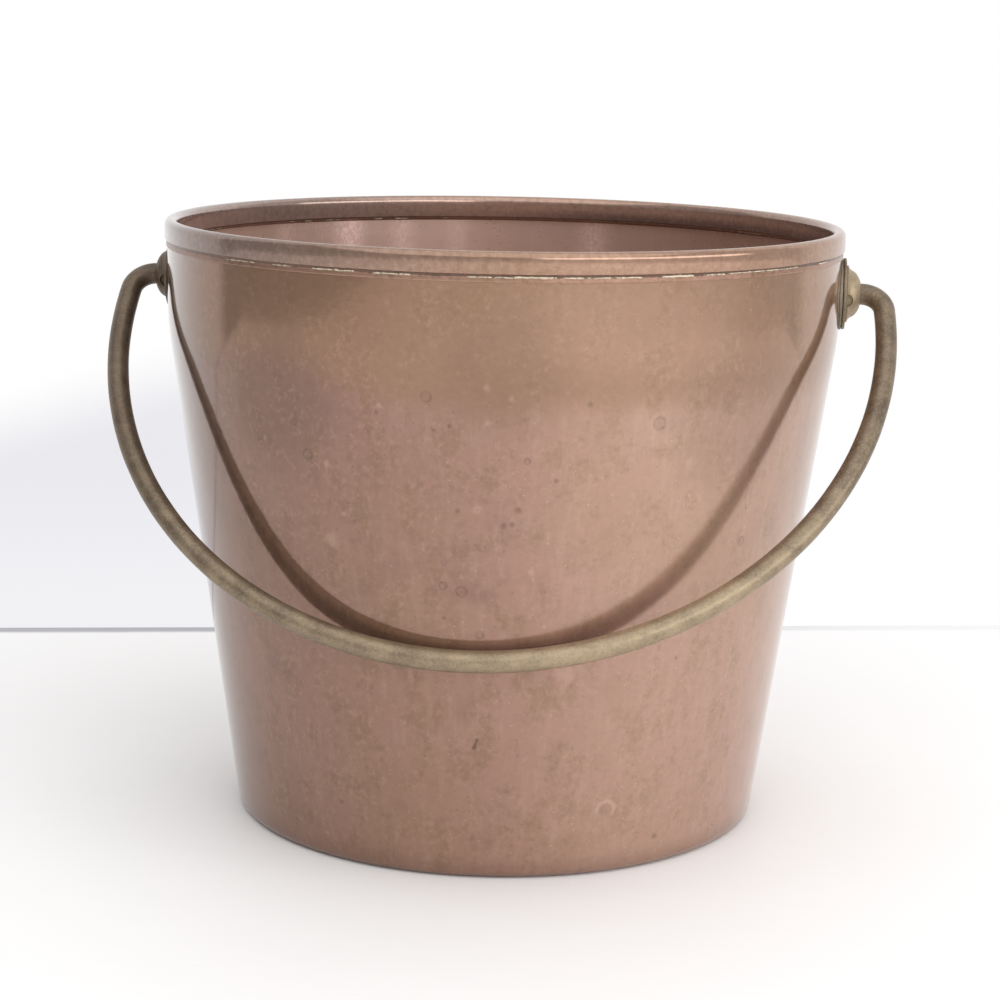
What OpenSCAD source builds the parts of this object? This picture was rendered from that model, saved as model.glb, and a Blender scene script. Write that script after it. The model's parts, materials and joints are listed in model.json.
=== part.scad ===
// Copper pail with a brass swing handle: a raised copper body, a folded rim with a
// hidden iron hoop, two soldered ears and one bent rod for the handle.
// The pivot line of the handle is along X, the handle rests on the -Y side,
// and the origin is the middle of the base, on the floor.

/* [Body] */
// Outside diameter of the pail over its rim
rim_d = 250; // [200:1:320]
// Height from the floor to the top of the rim
pail_h = 221; // [150:1:300]
// Diameter of the base where the line of the wall meets the floor
base_d = 196; // [140:1:240]
// Thickness of the body's copper sheet
sheet_t = 0.9; // [0.7:0.1:1.5]
// Length of the upright collar, from the top of the rim to the start of the taper
collar_h = 37; // [34:1:60]
// Radius of the soft bend between the collar and the taper
knee_r = 120; // [40:5:150]
// Outside radius of the corner between the wall and the base
corner_r = 4; // [2:0.5:10]

/* [Rim] */
// Width of the folded rim across its rounded top
rim_w = 4.6; // [4:0.1:7]
// Thickness of the rim's copper strip
rim_t = 0.8; // [0.5:0.1:1.1]
// Depth of the rim's outer leg
rim_outer_h = 7.4; // [5:0.1:10]
// Depth of the rim's inner leg
rim_inner_h = 8.5; // [6:0.1:11]
// How far the outer solder runs down the collar below the rim
outer_solder_h = 2.6; // [1.5:0.1:3]
// How far the inner solder runs down the wall below the rim
inner_solder_h = 1.6; // [1:0.1:3]

/* [Ears] */
// Height of the handle's pivot line below the top of the rim
pivot_drop = 23.5; // [23.5:0.5:30]
// Diameter of the plate that carries the boss
plate_d = 26.2; // [22:0.2:26.2]
// Thickness of that plate
plate_t = 1.2; // [0.8:0.1:2]
// Solder left between the collar and the plate, on the pivot line
plate_solder_t = 0.5; // [0.45:0.05:0.9]
// Solder left between the plate and the boss
boss_solder_t = 0.3; // [0.2:0.05:0.6]
// Diameter of the boss over its brim
boss_brim_d = 20.8; // [19:0.1:21.5]
// Diameter of the boss's hub
boss_hub_d = 15.6; // [15:0.1:17]
// Height of the boss
boss_h = 5; // [4.5:0.1:7]
// Thickness of the boss's end wall, which is the handle's bearing
boss_face_t = 1.8; // [1.4:0.1:2.2]
// Diameter of the hollow in the boss
boss_hollow_d = 12.4; // [12:0.1:12.8]
// Radius of the arched mouth in the side of the boss
arch_r = 2.3; // [1.5:0.1:2.6]
// How far the arch is below the pivot line
arch_drop = 1.5; // [0:0.1:2]

/* [Handle] */
// Diameter of the handle's rod
rod_d = 7.9; // [6:0.1:8.4]
// Angle from straight down at which the handle comes to rest on the body
rest_angle = 44.7; // [35:0.1:70]
// Radius of the bend beside each ear, at the middle of the rod
bend_r = 8.5; // [6:0.5:14]
// Straight rod left between each boss and its bend
bend_gap = 0.4; // [0.2:0.1:6]
// Diameter of the peened head on each end of the rod
head_d = 11; // [9.6:0.1:11.4]
// Thickness of that head
head_t = 1.4; // [1:0.1:1.6]
// How much thicker the rod's radius is in its hammered bends
bend_swell = 0.05; // [0.03:0.01:0.2]

/* [Clearances] */
// Thin film of solder between curved pieces that fit each other
film = 0.05; // [0.03:0.01:0.1]
// Space all round the rod in its bearing
bearing_gap = 0.06; // [0.02:0.01:0.1]
// Space between each head and the inside of its boss
head_gap = 0.4; // [0.2:0.05:0.6]
// Space between the resting handle and the body
rest_gap = 0.3; // [0.2:0.05:1]

/* [Hidden] */
$fn = 120;

copper = "#a5806f";
rim_copper = "#b08b74";
dark_iron = "#5b5048";
solder_grey = "#cfc6b8";
brass = "#8f7d5d";

// Rim and collar
rim_r = rim_d / 2;
collar_r = rim_r - rim_t - film;
fold_r = rim_w / 2;
fold_c = [rim_r - fold_r, pail_h - fold_r];
outer_leg_z = pail_h - rim_outer_h;
inner_leg_z = pail_h - rim_inner_h;
inner_leg_r = rim_r - rim_w;

// Tapered wall
knee_z = pail_h - collar_h;
taper = atan((collar_r - base_d / 2) / knee_z);
knee_c = [collar_r - knee_r, knee_z + knee_r * tan(taper / 2)];
corner_c = [base_d / 2 - corner_r * tan(45 - taper / 2), corner_r];
arc_steps = 8;

// Ears, measured outwards from the middle of the pail
pivot_z = pail_h - pivot_drop;
plate_x = collar_r + plate_solder_t;
boss_solder_x = plate_x + plate_t;
boss_x = boss_solder_x + boss_solder_t;
boss_face_x = boss_x + boss_h;
plate_solder_d = plate_d + 0.6;
boss_solder_d = boss_hub_d + 0.8;
brim_t = 0.5;
hub_round = 2.4;
bore_r = rod_d / 2 + bearing_gap;

// Handle: its grip is one large arc that is tangent to the bend beside each ear,
// and it reaches just far enough from the pivots to rest on the wall.
bend_x = boss_face_x + bend_gap;
wall_at_pivot = base_d / 2 + pivot_z * tan(taper);
reach = (wall_at_pivot * cos(taper) + rod_d / 2 + rest_gap) / sin(rest_angle + taper);
grip_r = (reach + bend_x * bend_x / (reach - 2 * bend_r)) / 2;
grip_drop = reach - grip_r;
bend_start = asin((grip_drop - bend_r) / (grip_r - bend_r));
head_x = boss_face_x - boss_face_t - head_gap - head_t;
bend_lap = 0.3;
lap_angle = bend_lap / grip_r * 180 / PI;

// Points of an arc in a section, from angle a to angle b
function arc(centre, r, a, b) = [
    for (i = [0 : arc_steps])
        let (t = a + (b - a) * i / arc_steps)
        centre + r * [cos(t), sin(t)]
];

function reversed(points) = [for (i = [len(points) - 1 : -1 : 0]) points[i]];

// The body's outer line from the middle of the base to a height on the collar,
// moved outwards by out
function wall_line(out, top) = concat(
    [[0, -out]],
    arc(corner_c, corner_r + out, -90, -taper),
    arc(knee_c, knee_r + out, -taper, 0),
    [[collar_r + out, top]]
);

// Everything inside the body's outer surface, grown by out; its finer facets keep
// the thin solder that is cut by it true
module body_form(out) {
    rotate_extrude($fn = 256)
        polygon(concat(wall_line(out, pail_h), [[0, pail_h]]));
}

// Turns a shape that was drawn round Z into one round the pivot line, pointing to +X
module on_pivot(x) {
    translate([x, 0, pivot_z]) rotate([0, 90, 0]) children();
}

module body() {
    color(copper)
        rotate_extrude()
            polygon(concat(wall_line(0, fold_c.y), reversed(wall_line(-sheet_t, fold_c.y))));
}

module rim_band() {
    color(rim_copper)
        rotate_extrude()
            polygon(concat(
                [[rim_r, outer_leg_z]],
                arc(fold_c, fold_r, 0, 180),
                [[inner_leg_r, inner_leg_z], [inner_leg_r + rim_t, inner_leg_z]],
                arc(fold_c, fold_r - rim_t, 180, 0),
                [[rim_r - rim_t, outer_leg_z]]
            ));
}

module rim_hoop() {
    inner = inner_leg_r + rim_t + film;
    outer = collar_r - sheet_t - film;
    color(dark_iron)
        rotate_extrude()
            translate([inner, inner_leg_z])
                square([outer - inner, fold_c.y - inner_leg_z]);
}

module outer_rim_solder() {
    skin = collar_r + film;
    lip = rim_t * 0.85;
    color(solder_grey)
        rotate_extrude()
            polygon([
                [skin, outer_leg_z],
                [skin + lip, outer_leg_z],
                [skin + lip, outer_leg_z - outer_solder_h * 0.3],
                [skin + lip * 0.4, outer_leg_z - outer_solder_h * 0.5],
                [skin + lip * 0.3, outer_leg_z - outer_solder_h],
                [skin, outer_leg_z - outer_solder_h]
            ]);
}

module inner_rim_solder() {
    skin = collar_r - sheet_t - film;
    color(solder_grey)
        rotate_extrude()
            polygon([
                [skin, inner_leg_z],
                [skin, inner_leg_z - inner_solder_h],
                [skin - 0.4, inner_leg_z - inner_solder_h],
                [inner_leg_r + rim_t * 0.25, inner_leg_z - inner_solder_h * 0.3],
                [inner_leg_r + rim_t * 0.25, inner_leg_z]
            ]);
}

module ear_plate() {
    color(brass) on_pivot(plate_x) cylinder(d = plate_d, h = plate_t);
}

// Solder between the flat plate and the round wall behind it
module plate_solder() {
    behind = 3;
    color(solder_grey)
        difference() {
            on_pivot(plate_x - behind) cylinder(d = plate_solder_d, h = behind);
            body_form(film);
        }
}

// Hollow cast boss: thin brim, waisted side, rounded hub and a bored end wall
module ear_boss() {
    brim_r = boss_brim_d / 2;
    hub_r = boss_hub_d / 2;
    color(brass)
        difference() {
            on_pivot(boss_x)
                rotate_extrude()
                    polygon(concat(
                        [[boss_hollow_d / 2, 0], [brim_r, 0], [brim_r, brim_t]],
                        [[(brim_r + hub_r) / 2 + 0.4, brim_t * 2], [hub_r + 0.3, boss_h * 0.35]],
                        arc([hub_r - hub_round, boss_h - hub_round], hub_round, 0, 90),
                        [[bore_r, boss_h], [bore_r, boss_h - boss_face_t]],
                        [[boss_hollow_d / 2, boss_h - boss_face_t]]
                    ));
            translate([boss_x, 0, pivot_z - arch_drop])
                rotate([90, 0, 0])
                    cylinder(r = arch_r, h = brim_r + 1);
        }
}

module boss_solder() {
    color(solder_grey)
        on_pivot(boss_solder_x)
            difference() {
                cylinder(d = boss_solder_d, h = boss_solder_t);
                translate([0, 0, -1]) cylinder(d = boss_hollow_d, h = boss_solder_t + 2);
            }
}

// One end of the handle, drawn in the XY plane: head, straight rod and bend. The
// rod and the grip each run a little way into the thicker bend.
module rod_end() {
    translate([head_x, 0, 0]) rotate([0, 90, 0]) {
        cylinder(d = head_d, h = head_t);
        cylinder(d = rod_d, h = bend_x + bend_lap - head_x);
    }
    translate([bend_x, -bend_r, 0])
        rotate([0, 0, bend_start])
            rotate_extrude(angle = 90 - bend_start)
                translate([bend_r, 0]) circle(r = rod_d / 2 + bend_swell);
}

module bail() {
    color(brass)
        translate([0, 0, pivot_z])
            rotate([90 - rest_angle, 0, 0]) {
                rod_end();
                mirror([1, 0, 0]) rod_end();
                translate([0, -grip_drop, 0])
                    rotate([0, 0, 180 - bend_start - lap_angle])
                        rotate_extrude(angle = 180 + 2 * (bend_start + lap_angle))
                            translate([grip_r, 0]) circle(d = rod_d);
            }
}

module left_ear_plate() { mirror([1, 0, 0]) ear_plate(); }
module right_ear_plate() { ear_plate(); }
module left_plate_solder() { mirror([1, 0, 0]) plate_solder(); }
module right_plate_solder() { plate_solder(); }
module left_ear_boss() { mirror([1, 0, 0]) ear_boss(); }
module right_ear_boss() { ear_boss(); }
module left_boss_solder() { mirror([1, 0, 0]) boss_solder(); }
module right_boss_solder() { boss_solder(); }

body();
rim_band();
rim_hoop();
outer_rim_solder();
inner_rim_solder();
left_ear_plate();
right_ear_plate();
left_plate_solder();
right_plate_solder();
left_ear_boss();
right_ear_boss();
left_boss_solder();
right_boss_solder();
bail();
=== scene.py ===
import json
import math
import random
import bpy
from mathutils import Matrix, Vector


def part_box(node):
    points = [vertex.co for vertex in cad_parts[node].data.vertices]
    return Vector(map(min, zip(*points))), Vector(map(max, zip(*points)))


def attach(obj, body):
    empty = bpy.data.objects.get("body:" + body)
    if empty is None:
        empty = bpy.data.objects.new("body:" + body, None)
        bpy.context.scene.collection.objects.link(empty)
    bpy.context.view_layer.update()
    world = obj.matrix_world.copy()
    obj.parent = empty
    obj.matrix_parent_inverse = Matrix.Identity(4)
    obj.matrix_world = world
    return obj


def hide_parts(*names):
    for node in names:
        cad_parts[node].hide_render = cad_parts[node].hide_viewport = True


bl_info = {
    "name": "Copper Pail",
    "version": (1, 0, 0),
    "blender": (4, 5, 0),
    "location": "3D View > Sidebar > Pail",
    "description": "A raised copper pail with soldered ears and a bent brass handle",
    "category": "Add Mesh",
}

from types import SimpleNamespace

import bmesh
import bpy
from bpy.props import FloatProperty, FloatVectorProperty, IntProperty, PointerProperty
from mathutils import Matrix, Vector

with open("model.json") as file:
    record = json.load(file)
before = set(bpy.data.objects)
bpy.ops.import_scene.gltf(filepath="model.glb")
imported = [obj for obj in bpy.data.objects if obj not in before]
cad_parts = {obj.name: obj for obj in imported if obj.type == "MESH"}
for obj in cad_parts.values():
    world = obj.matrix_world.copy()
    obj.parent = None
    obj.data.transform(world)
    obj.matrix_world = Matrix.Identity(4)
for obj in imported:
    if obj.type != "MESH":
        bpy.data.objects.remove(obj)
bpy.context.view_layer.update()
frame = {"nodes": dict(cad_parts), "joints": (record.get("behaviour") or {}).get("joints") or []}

MM = 0.001
FULL_TURN = 2 * math.pi
SEAM = 1e-6
EAR_STEPS = 96
RUN_STEP = 0.6  # degrees between the rings of a solder run
BODY_ROUGHNESS = 0.10
COPPER_METALLIC = 0.62
COAT = 0.2  # the clear film that makes reflections paler at the sides
COAT_ROUGHNESS = 0.04

# Outline of the boss from its brim to its bore: share of its height, share of its width
BELL = ((0.10, 0.975), (0.13, 0.90), (0.18, 0.83), (0.24, 0.775), (0.32, 0.73), (0.42, 0.69),
        (0.53, 0.64), (0.64, 0.57), (0.74, 0.475), (0.83, 0.37), (0.90, 0.265), (0.955, 0.16),
        (0.99, 0.07), (1.0, 0.03))

# Runs of bright solder below the rim, in degrees round the pail from its front
OUTER_RUNS = ((-43.4, -36.8), (-32.6, -29.0), (-25.0, -17.8), (-14.5, -8.8), (0.0, 3.4), (4.2, 6.7),
              (6.9, 13.1), (14.3, 26.4), (29.9, 35.2), (37.2, 41.1), (42.1, 58.8), (66.6, 70.4))
INNER_RUNS = ((128.1, 134.8), (136.4, 140.2), (197.0, 198.0), (205.2, 207.5), (210.4, 212.0),
              (219.8, 222.5), (226.2, 227.8), (229.8, 231.2), (251.7, 257.9))

# Marks on the wall: degrees from the front, height and radius in millimetres
WATER_RINGS = ((-6.1, 172.9, 2.1), (-37.8, 151.5, 1.4), (31.2, 163.7, 2.4), (-27.4, 149.5, 2.2),
               (-29.7, 160.3, 1.4), (-3.8, 107.9, 1.5), (-0.7, 106.2, 2.1), (2.5, 90.8, 1.6),
               (9.8, 152, 1.2), (-3.6, 116.2, 1), (52.5, 118, 1.7), (-120, 140, 2.4), (150, 130, 2),
               (172, 90, 1.5), (101, 150, 2.2))
DARK_SPOTS = ((-19.2, 128, 0.9), (19.3, 171.1, 1.3), (-2.5, 163.4, 1.1), (-1.3, 134.4, 1.1),
              (8.6, 135.1, 1.4), (14.5, 145.3, 1), (-5, 161.7, 0.8), (6.2, 129.7, 1.4), (7.6, 130.1, 1),
              (-3.7, 96.5, 0.8), (-27.3, 142, 0.8), (-14.3, 166.5, 0.8), (52.5, 130, 0.7),
              (40.1, 78.8, 0.9), (40.4, 11.5, 1.4), (-26.4, 23.2, 1.1), (74, 40.6, 1), (-112, 90, 1.4),
              (168, 60, 1.2), (130, 160, 1))
PALE_SPOTS = ((1.9, 135.2, 2.2), (3.5, 164.6, 1.4), (3.2, 176.6, 1.6), (7, 173.1, 1.4),
              (10.9, 113.4, 1.2), (13.5, 94.1, 1.2), (-0.8, 111.3, 1.3), (-13.8, 168.8, 1.4),
              (-23.8, 147.4, 1.5), (-21.2, 130.2, 1.5), (37.6, 149.4, 2.6), (-23.9, 120.3, 3.5),
              (18.1, 77.5, 5.5), (-140, 50, 5), (160, 110, 4))
ARCH_STAIN = (28, 24.7, 3.6)
SCRATCH = (1.9, 51, 2.6)

# Cloudy patches of tarnish, given in the same way, with the share of tarnish at the middle
CLOUDY_PATCHES = ((-33, 168, 34, 0.42), (47, 166, 38, 0.26), (6, 182, 30, 0.20),
                  (-150, 120, 40, 0.30), (120, 150, 40, 0.30))

# Painted highlights inside, as upright pale streaks: degrees from the front, half width in degrees, share
HIGHLIGHT_STREAKS = ((-143, 5, 0.75), (-154, 4, 0.35), (-165, 3.5, 0.22), (-128, 3.5, 0.25),
           (168, 5, 0.50), (60, 6, 0.40), (-20, 5, 0.40), (100, 4, 0.30))


# ---- sizes and colours


def linear(level):
    """A display level of 0 to 255 as the linear value that a shader takes"""
    share = level / 255
    return share / 12.92 if share < 0.04045 else ((share + 0.055) / 1.055) ** 2.4


def length(name, description, millimetres):
    """A length property, given in millimetres"""
    return FloatProperty(name=name, description=description, default=millimetres * MM,
            precision=5, min=0.0, subtype="DISTANCE", unit="LENGTH")


def angle(name, description, degrees):
    """An angle property, given in degrees"""
    return FloatProperty(name=name, description=description, default=math.radians(degrees),
            subtype="ANGLE", unit="ROTATION")


def colour(name, description, *levels):
    """A colour property, given as display levels of 0 to 255"""
    return FloatVectorProperty(name=name, description=description, size=3, min=0.0, max=1.0,
            default=tuple(map(linear, levels)), subtype="COLOR")


class PailSizes(bpy.types.PropertyGroup):
    """Sizes of the pieces that the frame's boxes don't give"""

    base_diameter: length("Base diameter", "Width of the base where the wall's line meets it", 196)
    sheet: length("Sheet", "Thickness of the body's copper sheet", 0.9)
    collar: length("Collar", "Upright part of the wall, below the top of the rim", 37)
    knee_radius: length("Knee radius", "Bend between the collar and the taper", 120)
    corner_radius: length("Corner radius", "Outside corner between wall and base", 4)
    rim_width: length("Rim width", "Width of the folded rim across its top", 4.6)
    rim_sheet: length("Rim sheet", "Thickness of the rim's copper strip", 0.8)
    hollow_diameter: length("Hollow diameter", "Width of the hollow in the boss", 12.4)
    face_thickness: length("Face thickness", "End wall of the boss", 1.8)
    arch_radius: length("Arch radius", "Radius of the mouth in the boss's side", 2.3)
    arch_drop: length("Arch drop", "How far the mouth is below the pivot", 1.5)
    arch_floor: length("Arch floor", "Wall left between the mouth and the hollow", 0.5)
    rod: length("Rod", "Diameter of the handle's rod", 7.9)
    rod_clearance: length("Rod clearance", "Space round the rod in its bearing", 0.06)
    bend_radius: length("Bend radius", "Bend beside each ear, at the middle of the rod", 8.5)
    bend_gap: length("Bend gap", "Straight rod between boss and bend", 0.4)
    head: length("Head", "Diameter of the peened head on each end of the rod", 11)
    head_thickness: length("Head thickness", "Thickness of that head", 1.4)
    head_gap: length("Head gap", "Space between the head and the boss's end wall", 0.4)
    rest_angle: angle("Rest angle", "Lean of the resting handle from straight down", 44.7)
    turn_steps: IntProperty(name="Turn steps", description="Steps round the pail", default=288, min=48)
    dent: length("Dent", "Depth of the unevenness of the beaten wall", 0.16)


class PailColours(bpy.types.PropertyGroup):
    """Colours of the finishes"""

    copper: colour("Copper", "Handled copper, lightly patinated", 165, 130, 109)
    rose: colour("Rose copper", "Pinker patches", 168, 130, 115)
    bronze: colour("Bronze copper", "Golden brown patches under the rim", 148, 115, 90)
    # Dark brown tarnish, also laid as painted shade on the left of the body and seams and on the inside's
    # right side
    tarnish: colour("Tarnish", "Dark brown tarnish", 108, 83, 72)
    inside: colour("Inside", "Paler copper inside the pail", 222, 192, 180)
    # Painted highlight: the pale pink of the upright streaks inside
    streak_highlight: colour("Scrubbed copper", "Pale pink rubbed streaks inside", 250, 214, 204)
    # Rubbed copper, also laid as painted light on the right of the body
    bright: colour("Bright copper", "Rubbed edges", 208, 178, 160)
    solder: colour("Solder", "Clean tin solder", 218, 203, 180)
    verdigris: colour("Verdigris", "Grey green bloom on the solder", 158, 166, 146)
    # Olive grey dirt, also laid as painted shade on the solder at the left
    grime_and_shade: colour("Grime", "Olive grey dirt on the solder at the ears", 92, 86, 68)
    # Dark residue, also laid as painted shade on the handle's left side and in the seam's groove
    flux_and_shade: colour("Flux", "Dark residue beside the solder", 74, 58, 50)
    slate: colour("Slate", "Blue grey shade low on the rim's inner leg", 62, 60, 64)
    # Painted shade and painted reflection: a grey laid on the left of the body and the rim, and on the
    # rim's inner leg
    painted_grey: colour("Dull film", "Grey film on the shaded copper", 110, 102, 103)
    brass: colour("Brass", "Worn yellow brass", 186, 166, 136)
    brown_brass: colour("Brown brass", "Tarnished brass", 104, 90, 75)
    iron: colour("Iron", "Oxidised hoop iron", 78, 66, 58)
    floor: colour("Floor", "Pale table top", 251, 250, 250)
    edge: colour("Table edge", "Shaded strip along the table's far edge", 178, 178, 184)


class StageSizes(bpy.types.PropertyGroup):
    """Places of the camera and the table"""

    camera_distance: length("Camera distance", "From the pail's axis, along the floor", 910.56)
    camera_height: length("Camera height", "Above the floor", 295)
    camera_azimuth: angle("Camera azimuth", "Round the pail from its front", 5.57)
    camera_pitch: angle("Camera pitch", "Below the horizon", 11.155)
    camera_roll: angle("Camera roll", "Anticlockwise tilt of the camera", 1.10)
    lens: FloatProperty(name="Lens", description="Focal length", default=88.31, unit="CAMERA")
    table_back: length("Table back", "From the pail's axis to the table's far edge", 262)
    table_turn: angle("Table turn", "Turn of the far edge from the pivot line", 10.6)
    table_front: length("Table front", "From the pail's axis to the table's near edge", 2940)
    table_reach: length("Table reach", "How far the table runs to each side", 1600)
    edge_strip: length("Edge strip", "Width of the shaded strip along the far edge", 12)


# ---- plan


def arc(centre, radius, start, end, steps):
    """Points of an arc in a section, from one angle to another in radians"""
    return [
        (centre[0] + radius * math.cos(start + (end - start) * i / steps),
         centre[1] + radius * math.sin(start + (end - start) * i / steps))
        for i in range(steps + 1)
    ]


def between(first, last, steps):
    """Points on a straight line, without its two ends"""
    return [
        (first[0] + (last[0] - first[0]) * i / steps, first[1] + (last[1] - first[1]) * i / steps)
        for i in range(1, steps)
    ]


def pail_plan(sizes):
    """Lines of the pail that the pieces share, in metres, from the frame and the sizes"""
    rim_low, rim_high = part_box("rim_band")
    skirt_low, skirt_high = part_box("outer_rim_solder")
    inner_low, inner_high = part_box("inner_rim_solder")
    plan = SimpleNamespace()
    plan.rim_radius = min(rim_high.x, rim_high.y)
    plan.rim_top = rim_high.z
    plan.inner_leg_z = rim_low.z
    plan.outer_leg_z = skirt_high.z
    plan.skirt_z = skirt_low.z
    plan.inner_solder_z = inner_low.z
    plan.collar_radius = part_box("body")[1].x
    plan.inner_leg_radius = plan.rim_radius - sizes.rim_width
    plan.fold_radius = sizes.rim_width / 2
    plan.fold_z = plan.rim_top - plan.fold_radius
    plan.base_radius = sizes.base_diameter / 2
    plan.knee_z = plan.rim_top - sizes.collar
    plan.taper = math.atan((plan.collar_radius - plan.base_radius) / plan.knee_z)
    plan.pivot_z = frame["joints"][0]["pos_m"][2]
    return plan


def round_pail(radius, azimuth, height):
    """A place at an azimuth round the pail, in degrees from its front"""
    turn = math.radians(azimuth)
    return Vector((radius * math.sin(turn), -radius * math.cos(turn), height))


def wall_point(plan, azimuth, height):
    """A place on the outside of the wall, at a height in millimetres"""
    height *= MM
    radius = min(plan.base_radius + height * math.tan(plan.taper), plan.collar_radius)
    return round_pail(radius, azimuth, height)


def handle_plan(sizes, plan):
    """Lines of the handle, in its own plane: out along X, and down from the pivot line"""
    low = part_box("bail")[0]
    face_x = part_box("right_ear_boss")[1].x
    made = SimpleNamespace()
    made.radius = sizes.rod / 2
    made.bend_x = face_x + sizes.bend_gap
    made.head_x = face_x - sizes.face_thickness - sizes.head_gap - sizes.head_thickness
    made.reach = (plan.pivot_z - low.z - made.radius) / math.cos(sizes.rest_angle)
    spare = made.reach - 2 * sizes.bend_radius
    made.grip_radius = (made.reach + made.bend_x ** 2 / spare) / 2
    made.grip_drop = made.reach - made.grip_radius
    made.bend_start = math.asin(
        (made.grip_drop - sizes.bend_radius) / (made.grip_radius - sizes.bend_radius))
    return made


# ---- modelling


def clear_selection():
    """Leaves edit mode and deselects every object"""
    if bpy.context.object and bpy.context.object.mode != "OBJECT":
        bpy.ops.object.mode_set(mode="OBJECT")
    bpy.ops.object.select_all(action="DESELECT")


def name_piece(name):
    """Names the active object and its mesh"""
    piece = bpy.context.object
    piece.name = name
    piece.data.name = name
    return piece


def start_point(name, place):
    """Starts a piece as one point, from a small plane, and stays in edit mode"""
    clear_selection()
    bpy.ops.mesh.primitive_plane_add(size=MM, enter_editmode=True, location=(0, 0, 0))
    piece = name_piece(name)
    bpy.ops.mesh.merge(type="CENTER")
    bpy.ops.transform.translate(value=place)
    return piece


def extrude(step):
    """Extrudes what is selected and moves it"""
    bpy.ops.mesh.extrude_region_move(TRANSFORM_OT_translate={"value": step})


def draw_line(name, points, to_place):
    """Draws a line of points in a section; to_place turns a section point into a place"""
    places = [Vector(to_place(*point)) for point in points]
    piece = start_point(name, places[0])
    for before, after in zip(places, places[1:]):
        extrude(after - before)
    bpy.ops.mesh.select_all(action="SELECT")
    return piece


def leave_closed():
    """Turns all the normals outwards and leaves edit mode"""
    bpy.ops.mesh.select_all(action="SELECT")
    bpy.ops.mesh.normals_make_consistent(inside=False)
    bpy.ops.object.mode_set(mode="OBJECT")


def spin_closed(centre, axis, steps):
    """Spins what is selected all the way round and welds the seam and the poles"""
    bpy.ops.mesh.spin(steps=steps, angle=FULL_TURN, center=centre, axis=axis)
    bpy.ops.mesh.select_all(action="SELECT")
    bpy.ops.mesh.remove_doubles(threshold=SEAM)
    leave_closed()


def turn_round_pail(name, points, steps):
    """A piece turned round the pail's axis from (radius, height) points"""
    piece = draw_line(name, points, lambda radius, height: (radius, 0, height))
    spin_closed((0, 0, 0), (0, 0, 1), steps)
    return piece


def turn_round_pivot(name, points, start, height, steps=EAR_STEPS):
    """A piece turned round the pivot line from (distance out from its start, radius) points"""
    piece = draw_line(name, points, lambda out, radius: (start + out, 0, height + radius))
    spin_closed((0, 0, height), (1, 0, 0), steps)
    return piece


def make_active(piece):
    """Selects one piece alone"""
    clear_selection()
    piece.select_set(True)
    bpy.context.view_layer.objects.active = piece


def apply_modifier(piece, kind, **settings):
    """Adds a modifier with its settings and applies it"""
    make_active(piece)
    bpy.ops.object.modifier_add(type=kind)
    modifier = piece.modifiers[-1]
    for name, value in settings.items():
        setattr(modifier, name, value)
    bpy.ops.object.modifier_apply(modifier=modifier.name)


def unevenness(name, size):
    """A soft noise texture for the Displace modifier"""
    texture = bpy.data.textures.new(name, "CLOUDS")
    texture.noise_scale = size
    texture.noise_depth = 2
    return texture


def beat_inwards(piece, size, depth):
    """Dents a surface by up to depth, never outwards"""
    apply_modifier(piece, "DISPLACE", texture=unevenness(piece.name, size), strength=depth,
            mid_level=1.0, texture_coords="LOCAL")


def smooth(piece, degrees=30):
    """Smooth shading that keeps edges sharper than an angle"""
    make_active(piece)
    bpy.ops.object.shade_smooth_by_angle(angle=math.radians(degrees))


def cut_away(piece, cutter):
    """Cuts one solid out of a piece and deletes the solid"""
    apply_modifier(piece, "BOOLEAN", object=cutter, operation="DIFFERENCE", solver="EXACT")
    bpy.data.objects.remove(cutter)


def mirrored_copy(piece, name):
    """A copy on the other side of the pail, with its own mesh"""
    make_active(piece)
    bpy.ops.object.duplicate()
    copy = name_piece(name)
    bpy.ops.object.mode_set(mode="EDIT")
    bpy.ops.mesh.select_all(action="SELECT")
    bpy.ops.transform.resize(value=(-1, 1, 1), center_override=(0, 0, 0))
    leave_closed()
    return copy


def paint(piece, *finishes):
    """Gives a piece its finishes"""
    for finish in finishes:
        piece.data.materials.append(finish.material)


def dress(piece, body, slot, *nodes):
    """Gives a piece its body and hides the nodes that it stands for; its slot is not used"""
    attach(piece, body)
    if nodes:
        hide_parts(*nodes)


# ---- finishes


def both_ways(operation):
    """A Math operation with an amount first, and its reflected form"""
    def plain(self, other):
        return self.nodes.number(operation, self, other)

    def reflected(self, other):
        return self.nodes.number(operation, other, self)

    return plain, reflected


class Amount:
    """A number that changes over a surface; sums with it add Math nodes"""

    __add__, __radd__ = both_ways("ADD")
    __sub__, __rsub__ = both_ways("SUBTRACT")
    __mul__, __rmul__ = both_ways("MULTIPLY")
    __truediv__, __rtruediv__ = both_ways("DIVIDE")

    def __init__(self, nodes, socket):
        self.nodes = nodes
        self.socket = socket

    def rise(self, low, high):
        """Goes smoothly from 0 to 1 as the number goes from low to high"""
        made = self.nodes.node("ShaderNodeMapRange", {"interpolation_type": "SMOOTHSTEP"},
                {"Value": self, "From Min": low, "From Max": high})
        return Amount(self.nodes, made.outputs["Result"])

    def fall(self, low, high):
        """Goes smoothly from 1 to 0 as the number goes from low to high"""
        return 1 - self.rise(low, high)


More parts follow.
